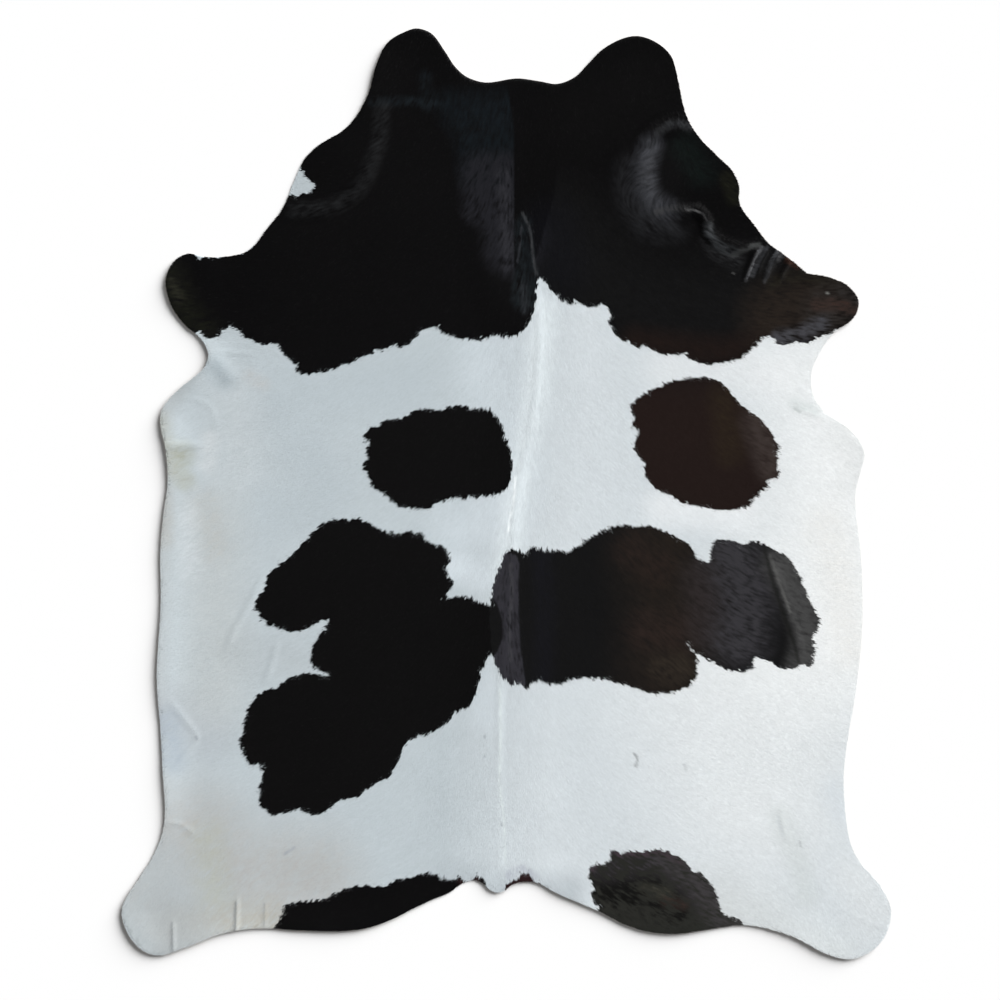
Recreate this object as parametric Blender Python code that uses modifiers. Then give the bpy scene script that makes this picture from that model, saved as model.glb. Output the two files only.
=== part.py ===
"""Cowhide rug: one hair-on hide lying flat, with its natural outline and its low folds.

Metres, +Z up.  The neck points along +Y and the tail along -Y.  The underside lies on z = 0, and
the origin is under the middle of the hide's extent in X and Y.
"""
from collections import namedtuple

import bpy
import numpy as np
from mathutils import Vector
from mathutils.geometry import delaunay_2d_cdt

MM = 0.001

# The sheet: 2 mm of leather and 2 mm of coat lying flat on it.
LEATHER_THICKNESS = 2.0
LYING_COAT = 2.0
SHEET_THICKNESS = LEATHER_THICKNESS + LYING_COAT

# Outline points in millimetres, anticlockwise from the middle of the neck.  Each stretch runs on
# from the one before, and a smooth closed curve passes through them all.
OUTLINE = {
    "neck": ((34, 997), (-62, 989), (-98, 1003), (-122, 1025), (-146, 1061)),
    "left_neck_lobe": ((-185, 1108), (-216, 1116), (-247, 1106), (-278, 1088), (-317, 1005), (-327, 966)),
    "left_shoulder": (
        (-376, 885), (-460, 827), (-483, 802), (-500, 767), (-540, 676), (-574, 634), (-597, 602),
        (-612, 587), (-674, 569), (-727, 569),
    ),
    "left_foreleg": ((-758, 576), (-785, 566), (-815, 511), (-810, 474), (-763, 400), (-736, 379)),
    "left_armpit": (
        (-712, 330), (-723, 301), (-750, 277), (-787, 247), (-826, 193), (-826, 161), (-817, 122),
    ),
    "left_flank": (
        (-810, 19), (-819, -43), (-827, -130), (-826, -254), (-835, -458), (-828, -554),
        (-822, -655), (-824, -818),
    ),
    "left_hind_leg": (
        (-846, -869), (-877, -917), (-920, -1002), (-851, -1102), (-823, -1104), (-783, -1091),
        (-659, -1047),
    ),
    "left_rump": ((-586, -1040), (-494, -1045), (-326, -1038), (-182, -974), (-133, -953)),
    "tail": (
        (-103, -932), (-77, -925), (-55, -933), (-39, -947), (-24, -954), (-7, -952), (10, -938),
        (74, -931),
    ),
    "right_rump": (
        (119, -954), (226, -1001), (279, -1029), (335, -1047), (394, -1053), (509, -1039),
        (562, -1032), (683, -1058),
    ),
    "right_hind_leg": ((786, -1107), (820, -1114), (897, -1075), (922, -994), (905, -952)),
    "right_flank": ((835, -862), (810, -722), (842, -446), (852, -350), (850, -142), (840, -53)),
    "right_armpit": (
        (838, 5), (850, 55), (859, 94), (814, 163), (773, 190), (744, 219), (734, 300), (750, 336),
    ),
    "right_foreleg": ((792, 394), (824, 414), (841, 438), (843, 466), (827, 491), (754, 524), (720, 530)),
    "right_shoulder": (
        (706, 542), (667, 573), (629, 601), (598, 641), (558, 704), (559, 734), (547, 767),
        (502, 815), (466, 852), (437, 896),
    ),
    "right_neck_lobe": (
        (410, 1001), (396, 1050), (317, 1098), (231, 1066), (198, 1033), (166, 1001), (122, 984),
        (82, 990),
    ),
}
CURVE_STEPS = 4  # edges between two outline points

# Soft ridges that lift the hide off the floor.  height: rise of the crest; half_width: from the
# crest to the flat; step: spacing of the mesh sections along it; path: points on the crest.  A
# path that ends outside the outline runs off the edge.
Fold = namedtuple("Fold", "name height half_width step path")
FOLDS = (
    Fold("spine_swell", 2.5, 110, 60, (
        (-38, 1080), (-40, 706), (-5, 538), (34, 394), (46, 178), (10, -62), (-7, -302),
        (-24, -590), (-29, -938))),
    Fold("spine_crest", 1.2, 16, 45, (
        (24, 1060), (26, 800), (36, 680), (55, 570), (72, 480), (70, 226), (26, -14), (7, -254),
        (-14, -494), (-14, -640), (-2, -800), (-10, -1000))),
    Fold("left_shoulder_arc", 3.5, 32, 26, (
        (-300, 905), (-314, 826), (-346, 746), (-389, 703), (-439, 682), (-560, 674))),
    Fold("right_shoulder_arc", 6, 38, 26, (
        (470, 870), (391, 888), (348, 864), (329, 821), (322, 768), (336, 720), (375, 680))),
    Fold("right_shoulder_pucker", 8, 24, 14, (
        (350, 690), (418, 683), (458, 677), (480, 653), (487, 626), (514, 602), (554, 590),
        (640, 612))),
    Fold("foreleg_wrinkle_1", 5, 11, 9, ((606, 600), (586, 545), (568, 500))),
    Fold("foreleg_wrinkle_2", 4, 10, 9, ((636, 596), (612, 552), (598, 518))),
    Fold("foreleg_wrinkle_3", 5, 10, 9, ((660, 584), (636, 542), (615, 498))),
    Fold("foreleg_wrinkle_4", 3, 10, 9, ((688, 570), (667, 533), (650, 500))),
    Fold("right_flank_crease", 2.4, 17, 22, (
        (625, -110), (650, -205), (678, -290), (702, -365), (712, -430))),
    Fold("left_flank_crease", 1.2, 14, 20, (
        (-565, -170), (-598, -226), (-628, -285), (-658, -337), (-680, -400))),
    Fold("left_flank_crease_low", 0.8, 12, 16, (
        (-545, -335), (-554, -372), (-570, -428), (-588, -470))),
    Fold("left_flank_corner", 0.9, 12, 16, (
        (-830, -470), (-773, -542), (-744, -586), (-773, -626), (-812, -670))),
    Fold("left_armpit_fold", 1.3, 28, 18, ((-716, 340), (-680, 298), (-648, 262))),
    Fold("left_armpit_crease", 0.7, 12, 14, ((-712, 340), (-655, 338), (-590, 333))),
    Fold("left_chest_arc", 0.5, 12, 14, ((-790, 222), (-748, 226), (-716, 210), (-700, 176), (-698, 130))),
    Fold("left_chest_fold", 1.4, 16, 16, ((-840, 120), (-780, 114), (-715, 122))),
    Fold("right_armpit_fold", 0.7, 12, 14, ((686, 208), (738, 190), (798, 173))),
    Fold("left_hock_fold", 0.8, 10, 12, ((-832, -786), (-782, -794), (-738, -828))),
    Fold("right_hock_crease", 0.5, 14, 14, ((650, -745), (664, -785), (678, -850))),
    Fold("right_hock_fold", 0.6, 12, 14, ((796, -1000), (850, -1018), (925, -1052))),
    Fold("hem_pleat_1", 1.8, 8, 10, ((-645, -955), (-647, -1010), (-647, -1080))),
    Fold("hem_pleat_2", 0.7, 8, 10, ((-577, -965), (-579, -1010), (-579, -1070))),
    Fold("hem_pleat_3", 1.6, 9, 10, ((-801, -1015), (-799, -1060), (-798, -1120))),
)
PATH_STEPS = 12  # edges between two points of a path
CREST_STEP = 0.25  # spacing of the crest points that heights are measured from, in half widths
ACROSS = (-1.0, -0.5, 0.0, 0.5, 1.0)  # mesh lines across a fold, in half widths
FOLD_TAPER = 0.3  # share of a fold's length over which each end sinks

# Places where the hem curls off the floor.  x, y: on the outline; reach: along the hem.
Curl = namedtuple("Curl", "name x y reach lift")
CURLS = (
    Curl("left_neck_tip", -225, 1114, 200, 6.5),
    Curl("left_neck_side", -326, 985, 140, 5.5),
    Curl("right_neck_tip", 330, 1096, 170, 5),
    Curl("left_foreleg_tip", -812, 510, 170, 8),
    Curl("right_foreleg_tip", 845, 452, 150, 7),
    Curl("left_armpit", -728, 320, 130, 8),
    Curl("left_chest", -828, 175, 200, 8),
    Curl("left_barrel", -822, -30, 250, 7),
    Curl("left_flank", -838, -390, 370, 8.5),
    Curl("left_stifle", -826, -730, 200, 7.5),
    Curl("left_hind_tip", -900, -1060, 230, 9),
    Curl("left_hind_hem", -700, -1075, 150, 7),
    Curl("left_rump", -400, -1047, 330, 8),
    Curl("tail", -20, -955, 90, 5),
    Curl("right_tail_side", 140, -965, 170, 7),
    Curl("right_rump", 394, -1056, 260, 8),
    Curl("right_hind_hem", 690, -1065, 190, 8),
    Curl("right_hind_tip", 880, -1090, 190, 7),
    Curl("right_chest", 857, 100, 130, 4),
)
CURL_BAND = 100.0  # how far in from the hem a curl reaches

# Mesh spacings: rows of points inside the hem, and the flat field.
HEM_ROWS = (26.0, 60.0)
HEM_SPACING = 42.0
FIELD_SPACING = 82.0
CLEAR_OF_HEM = 10.0

# The closest that a mesh point may come to the points set before it, as a share of its fold's half
# width, its hem row's inset or the field's spacing.
FOLD_CLEARANCE = 0.4
HEM_CLEARANCE = 0.6
FIELD_CLEARANCE = 0.55
MERGE_DISTANCE = 1e-6

COAT_COLOUR = (0.62, 0.66, 0.68, 1.0)
COAT_ROUGHNESS = 0.6


def clear_scene():
    for obj in list(bpy.data.objects):
        bpy.data.objects.remove(obj, do_unlink=True)


def smooth_curve(points, steps, closed=False):
    """A curve through the points, with tangents weighed by the distances to the neighbours."""
    points = np.asarray(points, float)
    chords = np.roll(points, -1, axis=0) - points
    if not closed:
        chords[-1] = chords[-2]
    lengths = np.linalg.norm(chords, axis=1)[:, None]
    slopes = chords / lengths
    before, slope_before = np.roll(lengths, 1, axis=0), np.roll(slopes, 1, axis=0)
    if not closed:
        slope_before[0] = slopes[0]
    share = before / (before + lengths)
    tangents = slope_before * (1 - share) + slopes * share
    t = (np.arange(steps) / steps)[:, None]
    curve = []
    for i in range(len(points) if closed else len(points) - 1):
        j = (i + 1) % len(points)
        places = (2 * t**3 - 3 * t**2 + 1) * points[i] + (3 * t**2 - 2 * t**3) * points[j]
        leads = (t**3 - 2 * t**2 + t) * tangents[i] + (t**3 - t**2) * tangents[j]
        curve.append(places + leads * lengths[i])
    if not closed:
        curve.append(points[-1:])
    return np.vstack(curve)


def resample(curve, spacing):
    """Points at an even spacing along an open polyline."""
    lengths = np.concatenate(((0.0,), np.cumsum(np.linalg.norm(np.diff(curve, axis=0), axis=1))))
    stops = np.linspace(0.0, lengths[-1], max(2, round(lengths[-1] / spacing) + 1))
    return np.column_stack([np.interp(stops, lengths, curve[:, axis]) for axis in (0, 1)])


def side_direction(curve):
    """Unit vectors at right angles to a polyline, to the left of its direction."""
    along = np.gradient(curve, axis=0)
    along /= np.linalg.norm(along, axis=1)[:, None]
    return np.column_stack((-along[:, 1], along[:, 0]))


def is_inside(points, outline):
    """Which points lie inside the closed polygon, by counting the edges to their right."""
    inside = np.zeros(len(points), bool)
    for (x0, y0), (x1, y1) in zip(outline, np.roll(outline, -1, axis=0)):
        crosses = (y0 > points[:, 1]) != (y1 > points[:, 1])
        edge_x = x0 + (points[:, 1] - y0) * (x1 - x0) / (y1 - y0 if y1 != y0 else 1.0)
        inside ^= crosses & (points[:, 0] < edge_x)
    return inside


def distance_to_edge(points, outline):
    """Distance from each point to the closed polygon's edges."""
    nearest = np.full(len(points), np.inf)
    for start, end in zip(outline, np.roll(outline, -1, axis=0)):
        edge = end - start
        share = np.clip((points - start) @ edge / (edge @ edge), 0.0, 1.0)
        gap = np.linalg.norm(points - start - share[:, None] * edge, axis=1)
        nearest = np.minimum(nearest, gap)
    return nearest


def soft_bump(ratio):
    """1 at 0, level there, and 0 from 1 on, where it runs out level too."""
    return (1.0 - np.clip(ratio, 0.0, 1.0) ** 2) ** 2


def fold_height(points, fold):
    """Lift of the hide at the points by one ridge."""
    crest = resample(smooth_curve(fold.path, PATH_STEPS), fold.half_width * CREST_STEP)
    gaps = np.linalg.norm(points[:, None, :] - crest[None, :, :], axis=2)
    along = np.argmin(gaps, axis=1) / (len(crest) - 1)
    to_end = np.minimum(along, 1.0 - along) / FOLD_TAPER
    taper = 1.0 - soft_bump(to_end)
    return fold.height * taper * soft_bump(gaps.min(axis=1) / fold.half_width)


def curl_height(points, to_edge, curl):
    """Lift of the hem at the points by one curl."""
    reach = np.hypot(points[:, 0] - curl.x, points[:, 1] - curl.y) / curl.reach
    return curl.lift * soft_bump(reach) * (1.0 - np.clip(to_edge / CURL_BAND, 0.0, 1.0)) ** 2


def hide_height(points, outline):
    """Height of the underside over the floor at each point."""
    to_edge = distance_to_edge(points, outline)
    height = sum(fold_height(points, fold) for fold in FOLDS)
    return height + sum(curl_height(points, to_edge, curl) for curl in CURLS)


def fold_points(fold):
    """Rows of mesh points along a fold, one for each line across it."""
    crest = resample(smooth_curve(fold.path, PATH_STEPS), fold.step)
    side = side_direction(crest)
    return np.vstack([crest + side * share * fold.half_width for share in ACROSS])


def hem_points(outline, inset):
    """A row of mesh points inside the hem."""
    row = outline + side_direction(np.vstack((outline[-1:], outline, outline[:1])))[1:-1] * inset
    return resample(row, HEM_SPACING)


def field_points(outline):
    """A staggered grid over the whole hide."""
    low, high = outline.min(axis=0), outline.max(axis=0)
    row_gap = FIELD_SPACING * 3**0.5 / 2
    rows = []
    for number, y in enumerate(np.arange(low[1], high[1], row_gap)):
        x = np.arange(low[0] + (number % 2) * FIELD_SPACING / 2, high[0], FIELD_SPACING)
        rows.append(np.column_stack((x, np.full(len(x), y))))
    return np.vstack(rows)


def spread_out(groups):
    """Keep each point that lies at least its group's spacing from those kept before it."""
    kept = np.empty((0, 2))
    for points, spacing in groups:
        for point in points:
            if not len(kept) or np.linalg.norm(kept - point, axis=1).min() > spacing:
                kept = np.vstack((kept, point))
    return kept


def mesh_points(outline):
    """Points inside the outline, close together on the folds and far apart on the flat."""
    narrow_first = sorted(FOLDS, key=lambda fold: fold.half_width)
    groups = [(fold_points(fold), fold.half_width * FOLD_CLEARANCE) for fold in narrow_first]
    groups += [(hem_points(outline, inset), inset * HEM_CLEARANCE) for inset in HEM_ROWS]
    groups.append((field_points(outline), FIELD_SPACING * FIELD_CLEARANCE))
    points = spread_out(groups)
    points = points[is_inside(points, outline)]
    return points[distance_to_edge(points, outline) > CLEAR_OF_HEM]


def hide_sheet(outline):
    """The hide's underside as an open mesh, lifted by its folds and curls."""
    points = np.vstack((outline, mesh_points(outline)))
    flat = [Vector(point) for point in points]
    rim = list(range(len(outline)))
    only_inside = 1
    verts, _edges, faces, *_origins = delaunay_2d_cdt(flat, [], [rim], only_inside, MERGE_DISTANCE)
    plan = np.array([tuple(vert) for vert in verts])
    height = hide_height(plan, outline)
    places = np.column_stack((plan, height)) * MM
    mesh = bpy.data.meshes.new("hide")
    mesh.from_pydata(places.tolist(), [], faces)
    return mesh


def coat_material():
    material = bpy.data.materials.new("hair_on_hide")
    material.use_nodes = True
    shader = material.node_tree.nodes["Principled BSDF"]
    shader.inputs["Base Color"].default_value = COAT_COLOUR
    shader.inputs["Roughness"].default_value = COAT_ROUGHNESS
    shader.inputs["Metallic"].default_value = 0.0
    return material


def make_hide(collection):
    outline = smooth_curve(sum(OUTLINE.values(), ()), CURVE_STEPS, closed=True)
    outline -= (outline.min(axis=0) + outline.max(axis=0)) / 2
    hide = bpy.data.objects.new("hide", hide_sheet(outline))
    hide.data.materials.append(coat_material())
    collection.objects.link(hide)
    thickness = hide.modifiers.new("thickness", "SOLIDIFY")
    thickness.thickness = SHEET_THICKNESS * MM
    thickness.offset = 1.0
    return hide


def main():
    clear_scene()
    collection = bpy.data.collections.new("cowhide_rug")
    bpy.context.scene.collection.children.link(collection)
    make_hide(collection)


main()
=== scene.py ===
"""The cowhide rug's looks: soft leather on its folds, and a coat of short hair lying on it.

The hide's outline, folds and curls repeat the part's own sizes, in millimetres, and hairs grow on
the same form.  Each hair has one colour, read a little off its own place, so the patches get the
ragged edges of a real coat.
"""
import math
from collections import namedtuple

import bpy
import numpy as np
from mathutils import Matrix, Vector
from mathutils.geometry import delaunay_2d_cdt

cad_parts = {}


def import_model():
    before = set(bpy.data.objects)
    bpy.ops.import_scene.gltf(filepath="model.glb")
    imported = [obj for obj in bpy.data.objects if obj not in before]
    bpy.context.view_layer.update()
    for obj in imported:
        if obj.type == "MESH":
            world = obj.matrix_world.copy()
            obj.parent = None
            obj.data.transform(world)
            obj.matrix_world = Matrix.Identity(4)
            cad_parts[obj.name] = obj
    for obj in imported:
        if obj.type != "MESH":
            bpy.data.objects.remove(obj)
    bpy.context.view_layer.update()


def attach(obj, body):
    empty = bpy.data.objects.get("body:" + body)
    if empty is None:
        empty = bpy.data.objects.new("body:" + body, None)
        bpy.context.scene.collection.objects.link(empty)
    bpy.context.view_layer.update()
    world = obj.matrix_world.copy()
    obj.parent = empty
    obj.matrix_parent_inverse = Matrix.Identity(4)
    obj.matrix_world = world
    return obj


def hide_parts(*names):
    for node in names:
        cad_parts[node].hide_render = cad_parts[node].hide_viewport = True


MM = 0.001

# Outline points in millimetres, anticlockwise from the middle of the neck.  Each stretch runs on
# from the one before, and a smooth closed curve passes through them all.
OUTLINE = {
    "neck": ((34, 997), (-62, 989), (-98, 1003), (-122, 1025), (-146, 1061)),
    "left_neck_lobe": ((-185, 1108), (-216, 1116), (-247, 1106), (-278, 1088), (-317, 1005), (-327, 966)),
    "left_shoulder": (
        (-376, 885), (-460, 827), (-483, 802), (-500, 767), (-540, 676), (-574, 634), (-597, 602),
        (-612, 587), (-674, 569), (-727, 569),
    ),
    "left_foreleg": ((-758, 576), (-785, 566), (-815, 511), (-810, 474), (-763, 400), (-736, 379)),
    "left_armpit": (
        (-712, 330), (-723, 301), (-750, 277), (-787, 247), (-826, 193), (-826, 161), (-817, 122),
    ),
    "left_flank": (
        (-810, 19), (-819, -43), (-827, -130), (-826, -254), (-835, -458), (-828, -554),
        (-822, -655), (-824, -818),
    ),
    "left_hind_leg": (
        (-846, -869), (-877, -917), (-920, -1002), (-851, -1102), (-823, -1104), (-783, -1091),
        (-659, -1047),
    ),
    "left_rump": ((-586, -1040), (-494, -1045), (-326, -1038), (-182, -974), (-133, -953)),
    "tail": (
        (-103, -932), (-77, -925), (-55, -933), (-39, -947), (-24, -954), (-7, -952), (10, -938),
        (74, -931),
    ),
    "right_rump": (
        (119, -954), (226, -1001), (279, -1029), (335, -1047), (394, -1053), (509, -1039),
        (562, -1032), (683, -1058),
    ),
    "right_hind_leg": ((786, -1107), (820, -1114), (897, -1075), (922, -994), (905, -952)),
    "right_flank": ((835, -862), (810, -722), (842, -446), (852, -350), (850, -142), (840, -53)),
    "right_armpit": (
        (838, 5), (850, 55), (859, 94), (814, 163), (773, 190), (744, 219), (734, 300), (750, 336),
    ),
    "right_foreleg": ((792, 394), (824, 414), (841, 438), (843, 466), (827, 491), (754, 524), (720, 530)),
    "right_shoulder": (
        (706, 542), (667, 573), (629, 601), (598, 641), (558, 704), (559, 734), (547, 767),
        (502, 815), (466, 852), (437, 896),
    ),
    "right_neck_lobe": (
        (410, 1001), (396, 1050), (317, 1098), (231, 1066), (198, 1033), (166, 1001), (122, 984),
        (82, 990),
    ),
}
CURVE_STEPS = 7  # edges between two outline points

# Soft ridges that lift the hide off the floor.  height: rise of the crest; half_width: from the
# crest to the flat; path: points on the crest.
Fold = namedtuple("Fold", "name height half_width path")
FOLDS = (
    Fold("spine_swell", 2.5, 110, (
        (-38, 1080), (-40, 706), (-5, 538), (34, 394), (46, 178), (10, -62), (-7, -302),
        (-24, -590), (-29, -938))),
    Fold("spine_crest", 1.2, 16, (
        (24, 1060), (26, 800), (36, 680), (55, 570), (72, 480), (70, 226), (26, -14), (7, -254),
        (-14, -494), (-14, -640), (-2, -800), (-10, -1000))),
    Fold("left_shoulder_arc", 3.5, 32, (
        (-300, 905), (-314, 826), (-346, 746), (-389, 703), (-439, 682), (-560, 674))),
    Fold("right_shoulder_arc", 6, 38, (
        (470, 870), (391, 888), (348, 864), (329, 821), (322, 768), (336, 720), (375, 680))),
    Fold("right_shoulder_pucker", 8, 24, (
        (350, 690), (418, 683), (458, 677), (480, 653), (487, 626), (514, 602), (554, 590),
        (640, 612))),
    Fold("foreleg_wrinkle_1", 5, 11, ((606, 600), (586, 545), (568, 500))),
    Fold("foreleg_wrinkle_2", 4, 10, ((636, 596), (612, 552), (598, 518))),
    Fold("foreleg_wrinkle_3", 5, 10, ((660, 584), (636, 542), (615, 498))),
    Fold("foreleg_wrinkle_4", 3, 10, ((688, 570), (667, 533), (650, 500))),
    Fold("right_flank_crease", 2.4, 17, ((625, -110), (650, -205), (678, -290), (702, -365), (712, -430))),
    Fold("left_flank_crease", 1.2, 14, (
        (-565, -170), (-598, -226), (-628, -285), (-658, -337), (-680, -400))),
    Fold("left_flank_crease_low", 0.8, 12, ((-545, -335), (-554, -372), (-570, -428), (-588, -470))),
    Fold("left_flank_corner", 0.9, 12, (
        (-830, -470), (-773, -542), (-744, -586), (-773, -626), (-812, -670))),
    Fold("left_armpit_fold", 1.3, 28, ((-716, 340), (-680, 298), (-648, 262))),
    Fold("left_armpit_crease", 0.7, 12, ((-712, 340), (-655, 338), (-590, 333))),
    Fold("left_chest_arc", 0.5, 12, ((-790, 222), (-748, 226), (-716, 210), (-700, 176), (-698, 130))),
    Fold("left_chest_fold", 1.4, 16, ((-840, 120), (-780, 114), (-715, 122))),
    Fold("right_armpit_fold", 0.7, 12, ((686, 208), (738, 190), (798, 173))),
    Fold("left_hock_fold", 0.8, 10, ((-832, -786), (-782, -794), (-738, -828))),
    Fold("right_hock_crease", 0.5, 14, ((650, -745), (664, -785), (678, -850))),
    Fold("right_hock_fold", 0.6, 12, ((796, -1000), (850, -1018), (925, -1052))),
    Fold("hem_pleat_1", 1.8, 8, ((-645, -955), (-647, -1010), (-647, -1080))),
    Fold("hem_pleat_2", 0.7, 8, ((-577, -965), (-579, -1010), (-579, -1070))),
    Fold("hem_pleat_3", 1.6, 9, ((-801, -1015), (-799, -1060), (-798, -1120))),
)
PATH_STEPS = 12  # edges between two points of a path
CREST_STEP = 0.25  # spacing of the crest points that heights are measured from, in half widths
FOLD_TAPER = 0.3  # share of a fold's length over which each end sinks

# Places where the hem curls off the floor.  x, y: on the outline; reach: along the hem.
Curl = namedtuple("Curl", "name x y reach lift")
CURLS = (
    Curl("left_neck_tip", -225, 1114, 200, 6.5),
    Curl("left_neck_side", -326, 985, 140, 5.5),
    Curl("right_neck_tip", 330, 1096, 170, 5),
    Curl("left_foreleg_tip", -812, 510, 170, 8),
    Curl("right_foreleg_tip", 845, 452, 150, 7),
    Curl("left_armpit", -728, 320, 130, 8),
    Curl("left_chest", -828, 175, 200, 8),
    Curl("left_barrel", -822, -30, 250, 7),
    Curl("left_flank", -838, -390, 370, 8.5),
    Curl("left_stifle", -826, -730, 200, 7.5),
    Curl("left_hind_tip", -900, -1060, 230, 9),
    Curl("left_hind_hem", -700, -1075, 150, 7),
    Curl("left_rump", -400, -1047, 330, 8),
    Curl("tail", -20, -955, 90, 5),
    Curl("right_tail_side", 140, -965, 170, 7),
    Curl("right_rump", 394, -1056, 260, 8),
    Curl("right_hind_hem", 690, -1065, 190, 8),
    Curl("right_hind_tip", 880, -1090, 190, 7),
    Curl("right_chest", 857, 100, 130, 4),
)
CURL_BAND = 100.0  # how far in from the hem a curl reaches

WAVE_HEIGHT, WAVE_LENGTH = 0.8, 130.0  # slight unevenness all over

LEATHER_THICKNESS = 2.0
FLAT_SPACING = 14.0  # of the leather's mesh points
FOLD_SPACING = 4.0
NARROW_FOLD = 40.0  # folds with a smaller half width get the closer points
CLEAR_OF_HEM = 5.0
FIELD_STEP = 5.0  # grid on which distances to outlines are worked out
FIELD_MARGIN = 60.0  # how far that grid reaches past the outline
INSIDE_GRID = 1.001  # keeps the last place that is read within the grid
NOISE_CELLS = 251  # after these the noise repeats
TINY = 1e-6  # guards a division or a comparison

# Where the coat is dark.  Points in millimetres; parts outside the hide close the shape only.
Patch = namedtuple("Patch", "name colour path")
BLACK = (0.0026, 0.0025, 0.0027)
PLAIN_BLACK = (0.0033, 0.0032, 0.0033)
SOFT_BLACK = (0.0062, 0.0063, 0.0065)
BROWN_BLACK = (0.0148, 0.0092, 0.0080)
RED_BLACK = (0.0190, 0.0090, 0.0095)
GREY_BLACK = (0.0210, 0.0214, 0.0186)
PATCHES = (
    Patch("shoulders", BLACK, (
        (-1050, 400), (-749, 386), (-734, 386), (-725, 374), (-698, 372), (-674, 396), (-665, 400),
        (-648, 394), (-638, 384), (-586, 358), (-554, 358), (-530, 326), (-506, 307), (-509, 300),
        (-490, 288), (-470, 287), (-422, 295), (-398, 308), (-382, 310), (-355, 325), (-322, 336),
        (-314, 344), (-298, 343), (-278, 355), (-254, 352), (-218, 374), (-202, 392), (-163, 396),
        (-156, 386), (-110, 372), (-67, 368), (-22, 378), (-5, 374), (29, 382), (51, 402), (63, 430),
        (70, 468), (75, 507), (81, 517), (90, 508), (104, 492), (122, 470), (152, 454), (178, 458),
        (187, 449), (235, 451), (251, 422), (247, 410), (252, 396), (276, 367), (298, 362), (312, 353),
        (326, 358), (346, 344), (394, 332), (432, 334), (437, 324), (509, 312), (586, 341), (602, 359),
        (636, 378), (650, 359), (670, 356), (706, 364), (720, 360), (746, 374), (773, 382), (797, 396),
        (1050, 400), (1050, 1250), (-1050, 1250),
    )),
    Patch("left_back", PLAIN_BLACK, (
        (-254, 180), (-302, 170), (-310, 161), (-326, 158), (-343, 130), (-331, 120), (-336, 101),
        (-329, 89), (-341, 74), (-343, 60), (-331, 46), (-326, 26), (-312, 7), (-290, -5), (-274, -23),
        (-197, -36), (-182, -34), (-170, -24), (-22, -2), (2, 12), (14, 55), (10, 98), (0, 130),
        (-29, 190), (-50, 203), (-70, 202), (-98, 210), (-132, 209), (-158, 200), (-211, 202),
    )),
    Patch("right_back", BROWN_BLACK, (
        (362, 254), (418, 275), (492, 276), (516, 266), (576, 202), (588, 197), (643, 132), (655, 103),
        (648, 86), (650, 36), (626, 29), (631, 17), (612, 5), (607, -5), (590, -14), (586, -24),
        (564, -35), (463, -31), (408, -14), (396, -5), (379, 0), (336, 36), (329, 60), (334, 72),
        (324, 77), (312, 98), (302, 106), (305, 122), (314, 134), (317, 149), (312, 157), (298, 156),
        (307, 180), (298, 204), (302, 216),
    )),
    Patch("left_flank", PLAIN_BLACK, (
        (-600, -254), (-581, -226), (-578, -206), (-566, -187), (-526, -158), (-494, -125), (-420, -62),
        (-386, -65), (-358, -60), (-329, -70), (-281, -96), (-266, -98), (-240, -94), (-206, -98),
        (-197, -110), (-146, -137), (-134, -158), (-139, -170), (-139, -199), (-130, -206),
        (-144, -242), (-158, -247), (-134, -251), (-106, -247), (-86, -252), (-14, -290), (-14, -374),
        (-38, -384), (-60, -422), (-86, -506), (-127, -528), (-142, -552), (-190, -578), (-235, -593),
        (-281, -679), (-307, -691), (-319, -703), (-334, -708), (-343, -720), (-394, -734),
        (-470, -772), (-487, -766), (-494, -754), (-516, -763), (-540, -767), (-552, -774),
        (-588, -749), (-595, -710), (-588, -658), (-595, -650), (-607, -653), (-636, -607),
        (-641, -590), (-631, -571), (-629, -538), (-574, -470), (-554, -466), (-542, -456),
        (-466, -430), (-427, -437), (-468, -413), (-470, -398), (-446, -336), (-422, -302),
        (-444, -306), (-468, -319), (-518, -332), (-542, -326), (-590, -300), (-593, -288),
        (-600, -283),
    )),
    Patch("right_flank", SOFT_BLACK, (
        (-38, -254), (-19, -182), (7, -136), (31, -138), (43, -146), (50, -137), (72, -131),
        (108, -139), (149, -137), (204, -103), (278, -74), (305, -79), (329, -77), (386, -94),
        (437, -122), (463, -158), (485, -166), (497, -115), (533, -110), (566, -120), (595, -113),
        (624, -125), (677, -158), (696, -185), (727, -254), (751, -326), (737, -341), (739, -358),
        (727, -415), (701, -413), (696, -420), (590, -396), (588, -420), (540, -425), (506, -410),
        (446, -374), (432, -358), (458, -403), (454, -418), (456, -437), (442, -456), (401, -478),
        (341, -478), (245, -448), (173, -444), (120, -458), (60, -456), (50, -470), (36, -458),
        (14, -460), (-31, -391), (-38, -350),
    )),
    Patch("left_rump", BLACK, (
        (-562, -1042), (-550, -1034), (-542, -1010), (-535, -1003), (-538, -996), (-511, -982),
        (-425, -968), (-406, -954), (-331, -940), (-293, -943), (-264, -926), (-233, -924),
        (-194, -910), (-144, -926), (-122, -924), (-113, -918), (-101, -929), (-94, -955), (-82, -922),
        (-72, -918), (-62, -922), (-50, -938), (-46, -974), (-110, -1120), (-562, -1120),
    )),
    Patch("tail_side", RED_BLACK, (
        (-2, -946), (10, -928), (29, -922), (41, -908), (53, -910), (62, -926), (82, -936), (90, -990),
        (14, -990),
    )),
    Patch("right_rump", GREY_BLACK, (
        (197, -900), (209, -890), (247, -883), (250, -862), (257, -857), (278, -864), (298, -858),
        (317, -860), (355, -854), (384, -859), (413, -871), (456, -910), (468, -913), (506, -970),
        (526, -1013), (550, -1018), (569, -1034), (569, -1120), (216, -1120), (216, -998), (226, -994),
        (209, -979), (202, -960), (211, -948), (197, -917),
    )),
)

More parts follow.
